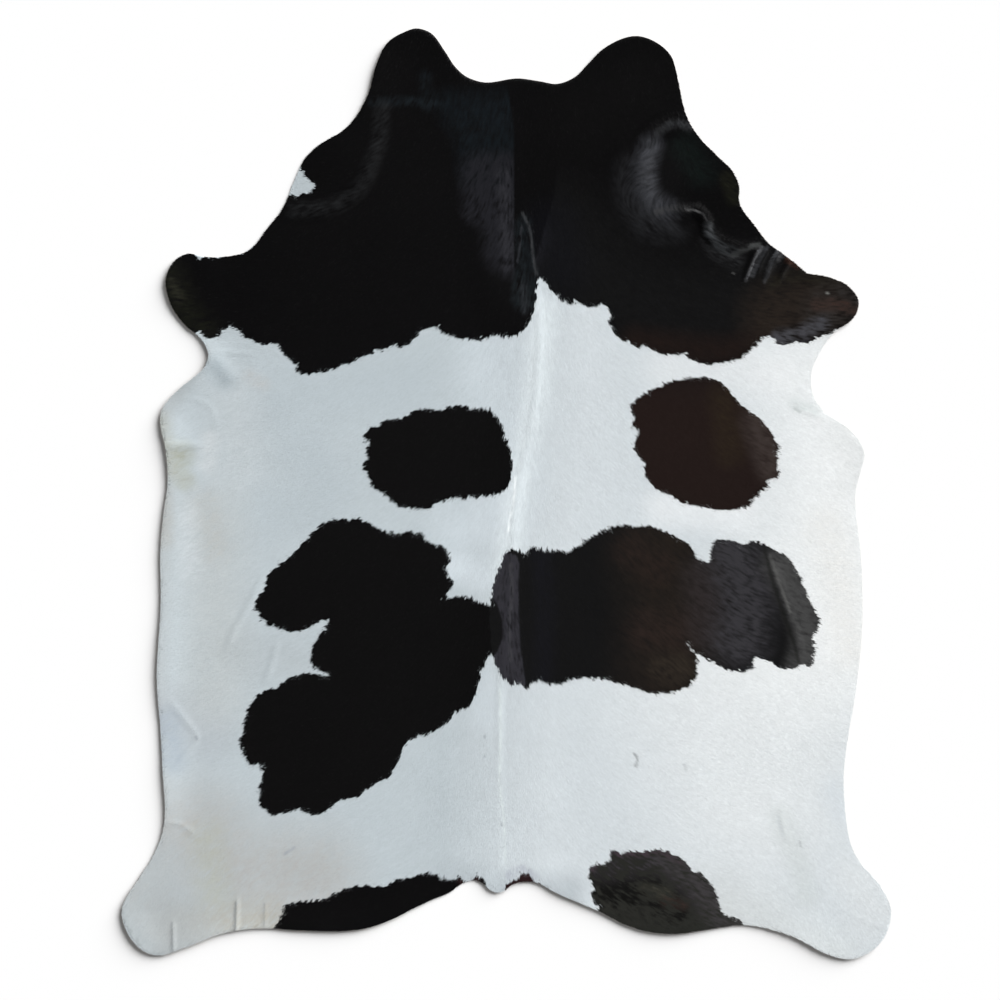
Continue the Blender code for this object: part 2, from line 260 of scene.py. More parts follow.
# Where white hair reaches in from the hem.
NOTCHES = {
    "left_shoulder": (
        (-494, 785), (-487, 765), (-458, 735), (-464, 729), (-473, 724), (-560, 727), (-540, 790),
    ),
    "left_elbow": (
        (-750, 600), (-745, 568), (-737, 560), (-730, 567), (-716, 568), (-706, 563), (-694, 566),
        (-680, 569), (-640, 576), (-622, 584), (-604, 596), (-612, 640),
    ),
}

# Hair colours of the white coat, on the left and on the right of the spine.  The right is lighter
# partly by a painted sheen, from the way the hair lies towards the light.
WHITE_LEFT = (0.404, 0.451, 0.475)
WHITE_RIGHT = (0.594, 0.638, 0.662)
SPINE_BLEND = 260.0  # over this distance the one turns into the other

# Stains and marks, with painted sheen, highlights, glints and shade, laid over the coat's colours in
# this order.  A band runs along its path, and size is its half width.  An area is a closed shape, and
# its edge is soft over its size.
# grain: how far streaks along the hair and blotches break it up.
Band = namedtuple("Band", "name size strength grain colour path")
Area = namedtuple("Area", Band._fields)
DARK_TINTS = (
    Band("right_shoulder_soft", 240, 0.9, 0.1, SOFT_BLACK, ((130, 600), (330, 450), (560, 430))),
    # Painted sheen of the black hair across the neck, where the hair turns.
    Band("neck_band", 18, 0.36, 0.5, (0.010, 0.014, 0.017), ((-320, 938), (-240, 942), (-150, 930))),
    Band("neck_band_rise", 26, 0.24, 0.6, (0.010, 0.014, 0.017), ((-196, 1000), (-190, 930))),
    Area("spine_sheen_top", 48, 0.7, 0.3, (0.0053, 0.0075, 0.0094), (
        (-170, 950), (-60, 958), (40, 958), (40, 730), (-100, 740), (-118, 850), (-150, 895))),
    Area("spine_sheen", 44, 0.85, 0.4, (0.0116, 0.0117, 0.0144), (
        (-98, 800), (-20, 812), (40, 812), (40, 520), (-28, 540), (-50, 570), (-58, 640), (-92, 660),
        (-102, 740))),
    Band("spine_sheen_edge", 30, 0.4, 0.6, (0.0246, 0.0246, 0.0290), (
        (-8, 760), (-4, 700), (0, 640), (4, 550))),
    Area("spine_shade", 5, 1.0, 0.0, BLACK, (
        (17, 1010), (17, 880), (18, 700), (18, 600), (20, 530), (34, 470), (56, 520), (48, 1010))),
    # Painted sheen of the black hair along the blaze, where the hair parts at the spine.
    Area("blaze_side", 16, 0.55, 0.5, (0.0090, 0.0118, 0.0135), (
        (34, 668), (50, 668), (60, 610), (68, 560), (80, 510), (60, 440), (24, 440), (26, 560))),
    Band("blaze_line_right", 6, 0.6, 0.3, (0.045, 0.047, 0.050), (
        (38, 672), (54, 640), (60, 600), (65, 560), (72, 525))),
    Band("blaze_line_left", 5, 0.4, 0.4, (0.032, 0.033, 0.038), ((36, 640), (32, 600), (26, 556))),
    Band("blaze_tip_sheen", 18, 0.25, 0.6, (0.030, 0.032, 0.036), ((38, 500), (46, 440))),
    # Painted sheen of the black hair over the left shoulder's fold.
    Band("left_shoulder_arc", 32, 0.32, 0.6, (0.0150, 0.0158, 0.0168), (
        (-296, 925), (-302, 880), (-306, 840), (-322, 806), (-346, 746), (-389, 703), (-439, 682),
        (-510, 682))),
    Band("whorl_inside", 60, 0.7, 0.2, (0.0050, 0.0078, 0.0072), ((430, 830), (470, 770))),
    # Painted grey sheen of the black hair turning round the whorl.
    Band("whorl_top", 17, 0.45, 0.3, (0.036, 0.038, 0.041), (
        (440, 878), (410, 888), (384, 880), (358, 856), (344, 826))),
    Band("whorl", 46, 0.64, 0.25, (0.044, 0.046, 0.053), (
        (345, 832), (334, 800), (332, 750), (345, 705), (380, 682))),
    Band("whorl_fan", 70, 0.34, 0.35, (0.026, 0.027, 0.030), (
        (305, 770), (312, 700), (350, 650), (400, 650))),
    # Painted light on the pucker: a highlight along its crest, shade in the hollow under it, and sheen down
    # its flank.
    Band("pucker_start", 12, 0.5, 0.4, (0.046, 0.046, 0.047), ((360, 676), (400, 684), (436, 681))),
    Band("pucker_line", 4, 0.9, 0.2, (0.100, 0.100, 0.102), ((432, 679), (450, 678), (462, 674))),
    Band("pucker_line_end", 4, 0.6, 0.2, (0.050, 0.050, 0.052), ((460, 675), (472, 668), (479, 655))),
    Band("pucker_hollow", 24, 0.9, 0.0, BLACK, ((425, 650), (450, 646), (462, 622))),
    Band("pucker_haze", 34, 0.32, 0.6, (0.030, 0.031, 0.033), ((488, 610), (510, 575), (548, 560))),
    Band("pucker_sheen", 17, 0.72, 0.4, (0.054, 0.058, 0.062), (
        (483, 640), (490, 614), (512, 592), (545, 578))),
    Band("pucker_sheen_end", 11, 0.6, 0.4, (0.046, 0.048, 0.048), ((545, 572), (576, 588), (604, 596))),
    # Painted highlights on the crests of the wrinkles by the right foreleg.
    Band("foreleg_line_1", 7, 0.75, 0.2, (0.090, 0.092, 0.098), ((613, 590), (594, 556), (575, 512))),
    Band("foreleg_line_2", 6, 0.6, 0.2, (0.055, 0.057, 0.063), ((626, 592), (608, 560), (590, 520))),
    Band("foreleg_line_3", 7, 0.7, 0.2, (0.072, 0.074, 0.080), ((650, 582), (632, 545), (619, 508))),
    Band("foreleg_line_4", 8, 0.5, 0.3, (0.070, 0.070, 0.074), ((664, 578), (652, 560))),
    Band("foreleg_rust", 14, 0.6, 0.4, (0.040, 0.018, 0.012), ((676, 560), (698, 546))),
    Band("shoulder_olive", 30, 0.4, 0.3, (0.0150, 0.0155, 0.0090), ((530, 755), (545, 710))),
    Band("right_shoulder_blue", 110, 0.4, 0.0, (0.0042, 0.0046, 0.0072), ((110, 640), (130, 540))),
    Band("right_lobe_soft", 150, 0.6, 0.0, (0.0042, 0.0041, 0.0042), ((200, 900), (330, 980))),
    Band("brown_shoulder", 60, 0.8, 0.1, (0.0130, 0.0082, 0.0068), (
        (310, 365), (430, 350), (560, 350), (610, 375))),
    Band("right_foreleg_brown", 120, 0.9, 0.2, (0.0186, 0.0140, 0.0110), (
        (640, 430), (700, 450), (760, 460))),
    Band("right_foreleg_top", 26, 0.4, 0.5, (0.0165, 0.0150, 0.0105), ((640, 505), (720, 520), (790, 500))),
    Band("right_foreleg_tip", 85, 0.7, 0.5, (0.0262, 0.0232, 0.0215), ((770, 440), (800, 460), (830, 450))),
    Band("right_foreleg_red", 26, 0.5, 0.6, (0.042, 0.024, 0.019), ((745, 452), (790, 454), (832, 438))),
    # Painted grey sheen along the right foreleg.
    Band("right_foreleg_grey", 30, 0.8, 0.5, (0.054, 0.054, 0.061), (
        (655, 375), (700, 380), (728, 396), (756, 408))),
    Band("foreleg_glint", 5, 0.8, 0.0, (0.20, 0.20, 0.19), ((769, 481), (771, 480))),
    Band("shoulder_glint", 4, 0.5, 0.0, (0.10, 0.10, 0.10), ((543, 529), (547, 527))),
    Band("left_foreleg_olive", 66, 0.55, 0.4, (0.0066, 0.0071, 0.0046), (
        (-800, 510), (-775, 440), (-735, 400))),
    Band("left_foreleg_light", 22, 0.35, 0.5, (0.020, 0.020, 0.014), ((-803, 510), (-785, 470))),
    Band("right_back_olive", 60, 0.6, 0.2, (0.023, 0.016, 0.010), ((520, 230), (535, 100))),
    Band("right_back_grey", 60, 0.85, 0.2, (0.042, 0.032, 0.029), ((600, 170), (640, 60))),
    Area("flank_sheen", 5, 0.9, 0.3, (0.0280, 0.0272, 0.0330), (
        (-46, -150), (24, -150), (28, -220), (30, -310), (34, -380), (38, -480), (-36, -480),
        (-42, -400), (-22, -380), (-22, -266), (-40, -240))),
    Band("flank_sheen_line", 8, 0.5, 0.5, (0.045, 0.045, 0.050), (
        (10, -170), (12, -250), (6, -330), (10, -400))),
    Band("flank_blue", 44, 0.4, 0.2, (0.0080, 0.0083, 0.0120), ((84, -150), (92, -250), (88, -430))),
    Band("flank_brown", 190, 0.9, 0.15, (0.0158, 0.0123, 0.0099), ((380, -150), (400, -260), (390, -420))),
    Band("flank_red", 70, 0.4, 0.3, (0.0240, 0.0155, 0.0130), ((300, -140), (360, -180))),
    Band("flank_red_low", 80, 0.5, 0.3, (0.0250, 0.0165, 0.0140), ((340, -330), (420, -330))),
    Band("flank_lobe", 60, 0.7, 0.4, (0.0260, 0.0205, 0.0155), ((380, -420), (420, -420))),
    Band("flank_mauve", 80, 0.8, 0.25, (0.0253, 0.0207, 0.0207), ((470, -200), (480, -330))),
    Band("flank_grey", 110, 0.9, 0.3, (0.0355, 0.0344, 0.0387), ((545, -150), (575, -260), (560, -350))),
    Band("flank_grey_edge", 62, 0.95, 0.2, (0.057, 0.057, 0.057), (
        (654, -170), (710, -278), (722, -374), (708, -420))),
    # Painted highlight on the lit side of the flank's crease, and painted shade in the crease.
    Band("flank_crease_light", 7, 0.7, 0.2, (0.090, 0.090, 0.088), ((632, -150), (658, -225), (680, -285))),
    Band("flank_crease_dark", 8, 0.65, 0.1, (0.013, 0.013, 0.012), (
        (618, -130), (643, -225), (669, -303), (692, -368), (701, -405))),
    Band("rump_mottle", 120, 0.5, 1.6, (0.0060, 0.0060, 0.0056), ((230, -930), (330, -930), (400, -960))),
    Band("rump_light", 70, 0.7, 0.6, (0.0440, 0.0409, 0.0431), ((400, -880), (460, -930), (520, -1010))),
    Band("rump_fleck", 60, 0.2, 2.0, (0.050, 0.046, 0.050), ((230, -890), (340, -880))),
    Band("rump_olive", 26, 0.5, 0.8, (0.044, 0.043, 0.034), ((330, -950), (385, -962))),
    Band("rump_red", 24, 0.4, 0.8, (0.036, 0.025, 0.021), ((385, -978), (425, -985))),
    Band("tail_red", 20, 0.7, 0.4, RED_BLACK, ((-106, -930), (-72, -926))),
    Band("rump_dark", 18, 0.7, 0.8, (0.0050, 0.0050, 0.0046), ((255, -966), (290, -974), (325, -962))),
    Band("rump_edge", 13, 0.55, 0.6, (0.050, 0.037, 0.044), (
        (205, -900), (250, -868), (310, -866), (370, -862), (415, -880))),
)
WHITE_TINTS = (
    Band("right_chest_light", 400, 0.82, 0.0, (0.823, 0.837, 0.833), ((850, 260), (820, -60), (800, -330))),
    Band("right_thigh_light", 400, 0.56, 0.0, (0.777, 0.795, 0.795), ((520, -480), (600, -700))),
    Band("shoulder_gap_light", 110, 0.35, 0.0, (0.823, 0.833, 0.833), ((400, 300), (640, 290))),
    Band("flank_gap_light", 80, 0.55, 0.0, (0.805, 0.823, 0.833), ((380, -35), (560, -45))),
    Band("left_of_spine_light", 120, 0.4, 0.0, (0.570, 0.627, 0.665), ((-40, 340), (-30, -60), (-110, -90))),
    Band("waist_light", 60, 0.5, 0.0, (0.608, 0.665, 0.703), ((-120, -180), (-60, -200))),
    Band("loin_light", 60, 0.35, 0.0, (0.570, 0.627, 0.665), ((-50, -450), (-50, -540))),
    # Painted highlights along the spine's crest, where the hair parts.
    Band("spine_light", 56, 0.5, 0.15, (0.677, 0.733, 0.752), ((90, 440), (70, 226), (26, -14), (0, -200))),
    Band("spine_low_light", 14, 0.35, 0.2, (0.627, 0.684, 0.703), (
        (-16, -440), (-15, -600), (-13, -760), (-8, -930))),
    Band("spine_line", 5, 0.25, 0.3, (0.627, 0.694, 0.674), (
        (-16, -470), (-14, -560), (-16, -700), (-6, -790), (-3, -880))),
    Band("spine_streak", 6, 0.35, 0.6, (0.84, 0.88, 0.89), ((22, 40), (16, -20), (4, -90))),
    Band("left_chest_stain", 52, 0.74, 0.15, (0.26, 0.27, 0.215), (
        (-842, 172), (-830, 124), (-808, 96), (-780, 92))),
    Band("left_chest_stain_mid", 40, 0.6, 0.15, (0.29, 0.30, 0.245), ((-810, 60), (-770, 30))),
    Band("left_chest_stain_low", 36, 0.5, 0.2, (0.36, 0.35, 0.32), ((-824, 0), (-822, -110))),
    Band("left_hem_shade", 52, 0.5, 0.1, (0.305, 0.320, 0.322), (
        (-740, 330), (-832, 180), (-824, 20), (-836, -250), (-844, -560), (-834, -800))),
    Band("left_back_shade", 150, 0.3, 0.1, (0.33, 0.38, 0.41), ((-560, 240), (-250, 270))),
    Band("left_back_shade_low", 110, 0.25, 0.1, (0.33, 0.38, 0.41), ((-480, 100), (-430, 0), (-640, -60))),
    Band("left_thigh_shade", 110, 0.35, 0.1, (0.33, 0.35, 0.375), ((-800, -520), (-720, -580))),
    Band("left_warm", 130, 0.4, 0.1, (0.43, 0.45, 0.44), ((-700, -60), (-700, -480))),
    Band("left_chest_glow", 110, 0.3, 0.1, (0.48, 0.51, 0.52), ((-650, 230), (-650, 60))),
    Band("left_chest_light", 36, 0.45, 0.2, (0.53, 0.56, 0.57), ((-712, 130), (-720, 70))),
    Band("left_flank_stain", 66, 0.3, 0.3, (0.37, 0.37, 0.35), ((-730, -30), (-700, -130))),
    Band("left_hem_light", 46, 0.4, 0.3, (0.50, 0.54, 0.56), ((-764, -50), (-756, -180))),
    Band("left_hock_stain", 190, 0.75, 0.15, (0.350, 0.352, 0.344), (
        (-740, -815), (-640, -900), (-470, -920))),
    Band("left_hock_olive", 76, 0.35, 0.3, (0.35, 0.37, 0.31), ((-718, -830), (-700, -970))),
    Band("left_hem_stain", 80, 0.65, 0.2, (0.33, 0.32, 0.28), ((-800, -1040), (-570, -1020))),
    Band("rump_brush", 7, 0.4, 0.4, (0.25, 0.28, 0.31), ((-532, -864), (-510, -850))),
    Band("left_hind_tip", 170, 0.85, 0.1, (0.338, 0.360, 0.366), ((-880, -960), (-800, -1070))),
    # Painted shade along the curled edge of the left hind leg's tip.
    Band("left_hind_edge", 44, 0.4, 0.0, (0.24, 0.265, 0.275), ((-926, -1010), (-890, -1064), (-846, -1106))),
    Band("right_flank_stain", 80, 0.08, 0.2, (0.60, 0.50, 0.38), ((761, -79), (806, -242), (826, -372))),
    Band("left_corner_shade", 54, 0.4, 0.2, (0.26, 0.31, 0.37), ((-812, -545), (-800, -640))),
    # Painted shade in the pit where the corner's creases meet.
    Band("left_corner_pit", 5, 0.6, 0.0, (0.20, 0.22, 0.24), ((-745, -583), (-743, -589))),
    Band("left_armpit_shade", 44, 0.4, 0.1, (0.22, 0.27, 0.30), ((-704, 306), (-676, 272))),
    Band("left_armpit_stain", 30, 0.25, 0.3, (0.40, 0.38, 0.36), ((-615, 282), (-585, 262))),
    Band("right_armpit_shade", 26, 0.35, 0.3, (0.52, 0.58, 0.57), ((694, 214), (738, 200))),
    Band("right_armpit_mark", 7, 0.3, 0.3, (0.36, 0.40, 0.39), ((690, 205), (704, 196))),
    Band("right_hock_shade", 60, 0.15, 0.2, (0.50, 0.57, 0.64), ((785, -717), (806, -760))),
    Band("right_hock_band", 50, 0.25, 0.1, (0.489, 0.536, 0.517), ((655, -775), (700, -880), (720, -960))),
    Band("right_hind_tip", 170, 0.5, 0.0, (0.545, 0.564, 0.555), ((520, -1020), (760, -1130))),
    Band("right_hind_light", 110, 0.4, 0.0, (0.76, 0.78, 0.78), ((850, -930), (890, -1000))),
    Band("left_gap_shade", 90, 0.3, 0.0, (0.33, 0.355, 0.365), ((-640, -380), (-520, -400))),
    Band("tail_shade", 74, 0.7, 0.0, (0.36, 0.40, 0.425), ((-150, -925), (-40, -945), (150, -955))),
    Band("tail_haze", 17, 0.34, 0.5, (0.28, 0.29, 0.35), ((6, -914), (40, -901), (68, -918))),
    Band("short_mark", 5, 0.6, 0.0, (0.14, 0.15, 0.16), ((306, -624), (314, -636), (310, -654))),
    Band("faint_mark", 6, 0.3, 0.0, (0.22, 0.24, 0.26), ((427, -650), (430, -660))),
    Band("flank_mark", 9, 0.2, 0.0, (0.40, 0.45, 0.48), ((651, -776), (662, -818))),
    Band("hock_mark", 4, 0.4, 0.0, (0.25, 0.27, 0.29), ((704, -835), (706, -848))),
    Band("spine_speck_1", 4, 0.5, 0.0, (0.20, 0.22, 0.25), ((-53, -582), (-52, -585))),
    Band("spine_speck_2", 4, 0.5, 0.0, (0.20, 0.22, 0.25), ((-53, -630), (-52, -633))),
    Band("spine_speck_3", 4, 0.5, 0.0, (0.20, 0.22, 0.25), ((-12, -791), (-12, -797))),
    # Painted shade in the creases beside the hem's pleats.
    Band("hem_line_1", 5, 0.6, 0.0, (0.18, 0.19, 0.20), ((-650, -982), (-652, -1050))),
    Band("hem_line_2", 4, 0.4, 0.0, (0.20, 0.21, 0.22), ((-582, -984), (-582, -1040))),
    Band("hem_line_3", 5, 0.5, 0.0, (0.20, 0.21, 0.22), ((-803, -1030), (-802, -1098))),
)

# How the hair lies.  Angles are from the tail's direction, and positive towards the right.
SPINE = ((-1000, -24), (-734, -22), (-494, -14), (-254, 7), (-14, 26), (226, 70), (480, 72), (570, 55),
         (680, 36), (800, 26), (1060, 24))  # y and x
OUTWARD_ANGLE, OUTWARD_REACH = 62.0, 230.0
Turn = namedtuple("Turn", "name x y reach angle")
TURNS = (
    Turn("left_foreleg", -740, 490, 300, -34),
    Turn("right_foreleg", 760, 460, 300, 34),
    Turn("left_hind_leg", -830, -1000, 420, 22),
    Turn("right_hind_leg", 830, -1000, 420, -22),
    Turn("left_neck_lobe", -230, 1040, 300, 30),
    Turn("right_neck_lobe", 320, 1030, 300, -30),
    Turn("right_shoulder_whorl", 350, 770, 130, -140),
    Turn("left_shoulder", -460, 780, 150, -35),
)
FLOW_NOISES = ((150.0, 9.0), (38.0, 6.0))  # size of the swirls and degrees of turn
HAIR_ANGLE_SPREAD = 7.0

HAIR_SPACING = 1.93
HAIR_LENGTH = (8.5, 12.5)
HAIR_WIDTH = (1.9, 2.6)
HAIR_RISE = (0.3, 0.65)  # of the tip over the leather
HAIR_ROLL = 1.5  # degrees about the hair's own line
ROOT_DEPTH = 0.1
MAX_SAG = 0.3  # a hair that would cut deeper through a fold is shorter
LEAST_SAG_SHARE = 0.1  # its square root is the least share of a length that is left
SEEN_SHARE = 0.6  # where along a hair its colour is read
ROOT_INSET = 0.6  # from the hem
HEM_OVERHANG = (0.5, 3.0)
TUFT_THROW = 4.0  # how far the locks at a patch's edge reach over it
TUFTS = ((6.5, 3.4), (3.2, 2.0))  # size of the tufts along a patch's edge and their depth
STRAY_THROW = 1.5
ROOT_SHADE = 0.94  # a hair is darker at its root
PATCH_STEPS = 3  # edges between two points of a patch
STREAK_SIZE, STREAK_STEP, STREAK_SAMPLES = 4.0, 2.4, 7
STREAK_GAIN, STREAK_STRENGTH = 0.5, 0.015
BLOTCH_SIZE, BLOTCH_SHARE = 13.0, 0.9  # against the streaks, where a tint breaks up
LOCK_SIZE, LOCK_STRENGTH = 60.0, 0.012
HAIR_VARIATION = 0.015

SEEDS = {"waves": 3, "flow": 11, "tufts": 21, "streaks": 31, "locks": 41, "hairs": 51, "blotches": 61}

# Roughness and specular level.
WHITE_GLOSS = (0.5, 0.25)
DARK_GLOSS = (0.4, 0.035)
ROOTS_GLOSS = (0.7, 0.1)
FLOOR_GLOSS = (0.9, 0.0)
HAIR_MOTTLE, ROOTS_MOTTLE = 0.04, 0.15  # share by which fine noise lightens and darkens the colour
MOTTLE_SCALE, NOISE_DETAIL = 260.0, 4.0
Grain = namedtuple("Grain", "name colours scale roughness bump_height")
FLESH_SIDE = Grain("flesh_side", ((0.50, 0.42, 0.33), (0.62, 0.55, 0.46)), 220.0, 0.9, 0.3)
CUT_EDGE = Grain("cut_edge", ((0.20, 0.15, 0.11), (0.34, 0.27, 0.20)), 400.0, 0.8, 0.2)
GRAIN_SPECULAR = 0.2

# Floor, light and camera, in metres.
FLOOR_REACH, FLOOR_DROP = 40.0, 0.0004
FLOOR_COLOUR = (0.72, 0.72, 0.72, 1.0)
SUN_STRENGTH, SUN_SPREAD = 7.85, 46.0  # spread in degrees
SUN_TOWARDS = (0.64, 0.56, 0.44)
SKY_STRENGTH, SKY_COLOUR = 0.24, (1.0, 1.0, 1.0, 1.0)
CAMERA_HEIGHT = 6.0
VIEW_WIDTH = 2.4  # of the picture, at the floor
VIEW_CENTRE = (-0.0158, -0.0154)
SENSOR = 36.0  # in millimetres


# ---- curves, distances and noise ----

def smooth_curve(points, steps, closed=False):
    """A curve through the points, with tangents weighed by the distances to the neighbours."""
    points = np.asarray(points, float)
    chords = np.roll(points, -1, axis=0) - points
    if not closed:
        chords[-1] = chords[-2]
    lengths = np.linalg.norm(chords, axis=1)[:, None]
    slopes = chords / lengths
    before, slope_before = np.roll(lengths, 1, axis=0), np.roll(slopes, 1, axis=0)
    if not closed:
        slope_before[0] = slopes[0]
    share = before / (before + lengths)
    tangents = slope_before * (1 - share) + slopes * share
    t = (np.arange(steps) / steps)[:, None]
    curve = []
    for i in range(len(points) if closed else len(points) - 1):
        j = (i + 1) % len(points)
        places = (2 * t**3 - 3 * t**2 + 1) * points[i] + (3 * t**2 - 2 * t**3) * points[j]
        leads = (t**3 - 2 * t**2 + t) * tangents[i] + (t**3 - t**2) * tangents[j]
        curve.append(places + leads * lengths[i])
    if not closed:
        curve.append(points[-1:])
    return np.vstack(curve)


def resample(curve, spacing):
    """Points at an even spacing along an open polyline."""
    lengths = np.concatenate(((0.0,), np.cumsum(np.linalg.norm(np.diff(curve, axis=0), axis=1))))
    stops = np.linspace(0.0, lengths[-1], max(2, round(lengths[-1] / spacing) + 1))
    return np.column_stack([np.interp(stops, lengths, curve[:, axis]) for axis in (0, 1)])


def depth_inside(points, outline):
    """Distance from each point to the closed polygon's edge: positive inside, negative outside."""
    inside = np.zeros(len(points), bool)
    nearest = np.full(len(points), np.inf)
    for (x0, y0), (x1, y1) in zip(outline, np.roll(outline, -1, axis=0)):
        x, y = points[:, 0] - x0, points[:, 1] - y0
        run, rise = x1 - x0, y1 - y0
        share = np.clip((x * run + y * rise) / (run * run + rise * rise), 0.0, 1.0)
        nearest = np.minimum(nearest, np.hypot(x - share * run, y - share * rise))
        if rise:
            inside ^= ((y >= 0) != (y >= rise)) & (x < y * run / rise)
    return np.where(inside, nearest, -nearest)


def on_grid(function, low, high):
    """The function worked out on a grid once, to be read between its points from then on."""
    low = np.asarray(low, float)
    counts = np.ceil((np.asarray(high) - low) / FIELD_STEP).astype(int) + 1
    nodes = low + np.stack(np.meshgrid(*map(np.arange, counts), indexing="ij"), -1) * FIELD_STEP
    values = function(nodes.reshape(-1, 2)).reshape(counts)

    def read(points):
        place = np.clip((points - low) / FIELD_STEP, 0.0, counts - INSIDE_GRID)
        i, j = place.astype(int).T
        u, v = (place - place.astype(int)).T
        near = values[i, j] * (1 - u) + values[i + 1, j] * u
        far = values[i, j + 1] * (1 - u) + values[i + 1, j + 1] * u
        return near * (1 - v) + far * v
    return read


def depth_field(outline):
    """depth_inside of an outline, on a grid that reaches a little past it."""
    return on_grid(lambda points: depth_inside(points, outline),
                   outline.min(axis=0) - FIELD_MARGIN, outline.max(axis=0) + FIELD_MARGIN)


def noise(points, size, seed):
    """Smooth random numbers from -1 to 1, in blobs about as large as size."""
    table = np.random.default_rng(seed).uniform(-1.0, 1.0, (NOISE_CELLS, NOISE_CELLS))
    place = points / size
    i, j = np.floor(place).astype(int).T
    u, v = (place - np.floor(place)).T
    u, v = u * u * (3 - 2 * u), v * v * (3 - 2 * v)

    def at(a, b):
        return table[(i + a) % NOISE_CELLS, (j + b) % NOISE_CELLS]
    return (at(0, 0) * (1 - u) + at(1, 0) * u) * (1 - v) + (at(0, 1) * (1 - u) + at(1, 1) * u) * v


def soft_bump(ratio):
    """1 at 0, level there, and 0 from 1 on, where it runs out level too."""
    return (1.0 - np.clip(ratio, 0.0, 1.0) ** 2) ** 2


def across_path(points, path, half_width):
    """Distance to a path in half widths, at most 1, and how far along the path that is."""
    crest = resample(smooth_curve(path, PATH_STEPS), half_width * CREST_STEP)
    low, high = crest.min(axis=0) - half_width, crest.max(axis=0) + half_width
    near = np.flatnonzero(((points > low) & (points < high)).all(axis=1))
    gaps = np.hypot(points[near, 0, None] - crest[:, 0], points[near, 1, None] - crest[:, 1])
    ratio, along = np.ones(len(points)), np.zeros(len(points))
    if len(near):
        ratio[near] = gaps.min(axis=1) / half_width
        along[near] = gaps.argmin(axis=1) / (len(crest) - 1)
    return ratio, along


# ---- the hide's form ----

def hide_height(points, depth):
    """Height of the leather's underside over the floor, depth being the distance in from the hem."""
    height = WAVE_HEIGHT * (0.5 + 0.5 * noise(points, WAVE_LENGTH, SEEDS["waves"]))
    for fold in FOLDS:
        ratio, along = across_path(points, fold.path, fold.half_width)
        to_end = np.minimum(along, 1.0 - along) / FOLD_TAPER
        height += fold.height * (1.0 - soft_bump(to_end)) * soft_bump(ratio)
    band = (1.0 - np.clip(depth / CURL_BAND, 0.0, 1.0)) ** 2
    for curl in CURLS:
        reach = np.hypot(points[:, 0] - curl.x, points[:, 1] - curl.y) / curl.reach
        height += curl.lift * soft_bump(reach) * band
    return height


def staggered_points(low, high, spacing):
    rows = []
    for number, y in enumerate(np.arange(low[1], high[1], spacing * 3**0.5 / 2)):
        x = np.arange(low[0] + (number % 2) * spacing / 2, high[0], spacing)
        rows.append(np.column_stack((x, np.full(len(x), y))))
    return np.vstack(rows)


def leather_points(outline, depth_of):
    """Points inside the outline, closer together near the narrow folds."""
    groups = []
    for spacing, wants_folds in ((FOLD_SPACING, True), (FLAT_SPACING, False)):
        points = staggered_points(outline.min(axis=0), outline.max(axis=0), spacing)
        points = points[depth_of(points) > CLEAR_OF_HEM]
        near_fold = np.zeros(len(points), bool)
        for fold in FOLDS:
            if fold.half_width < NARROW_FOLD:
                near_fold |= across_path(points, fold.path, fold.half_width)[0] < 1.0
        groups.append(points[near_fold == wants_folds])
    return np.vstack(groups)


def hide_leather(outline, depth_of, colour_of):
    """The leather as an open sheet on its folds, thickened by a modifier."""
    points = np.vstack((outline, leather_points(outline, depth_of)))
    only_inside = 1
    verts, _edges, faces, *_origins = delaunay_2d_cdt(
        [Vector(point) for point in points], [], [list(range(len(outline)))], only_inside, TINY)
    plan = np.array([tuple(vert) for vert in verts])
    height = hide_height(plan, np.maximum(depth_of(plan), 0.0))
    mesh = bpy.data.meshes.new("hide_leather")
    mesh.from_pydata((np.column_stack((plan, height)) * MM).tolist(), [], faces)
    mesh.shade_smooth()
    paint(mesh, colour_of(plan, hair_direction(plan))[0] * ROOT_SHADE)
    leather = bpy.data.objects.new("hide_leather", mesh)
    bpy.context.scene.collection.objects.link(leather)
    mesh.materials.append(painted_material("coat_roots", ROOTS_GLOSS, ROOTS_MOTTLE))
    mesh.materials.append(grainy_material(FLESH_SIDE))
    mesh.materials.append(grainy_material(CUT_EDGE))
    thickness = leather.modifiers.new("thickness", "SOLIDIFY")
    thickness.thickness = LEATHER_THICKNESS * MM
    thickness.offset = 1.0
    thickness.material_offset = 1
    thickness.material_offset_rim = 2
    return leather


# ---- the coat ----

def spine_side(points):
    """Distance to the right of the spine."""
    y, x = np.array(SPINE, float).T
    return points[:, 0] - np.interp(points[:, 1], y, x)


def hair_direction(points):
    """Unit vectors along the lying hair: down the spine, and outwards on the flanks and legs."""
    angle = OUTWARD_ANGLE * np.tanh(spine_side(points) / OUTWARD_REACH)
    for turn in TURNS:
        reach = np.hypot(points[:, 0] - turn.x, points[:, 1] - turn.y) / turn.reach
        angle += turn.angle * soft_bump(reach)
    for number, (size, degrees) in enumerate(FLOW_NOISES):
        angle += degrees * noise(points, size, SEEDS["flow"] + number)
    angle = np.radians(angle)
    return np.column_stack((np.sin(angle), -np.cos(angle)))


def tint_weight(tint, points):
    """1 in the middle of a tint, and 0 outside its soft edge."""
    if isinstance(tint, Area):
        depth_of = depth_field(smooth_curve(tint.path, PATCH_STEPS, closed=True))
        return np.clip(0.5 + depth_of(points) / tint.size, 0.0, 1.0)
    return soft_bump(across_path(points, tint.path, tint.size)[0])


def tinted(colour, points, grain, tints):
    """The colours with a table's tints laid over them."""
    for tint in tints:
        weight = tint.strength * tint_weight(tint, points) * (1.0 + tint.grain * grain)
        colour = colour + (np.array(tint.colour) - colour) * np.clip(weight, 0.0, 1.0)[:, None]
    return colour


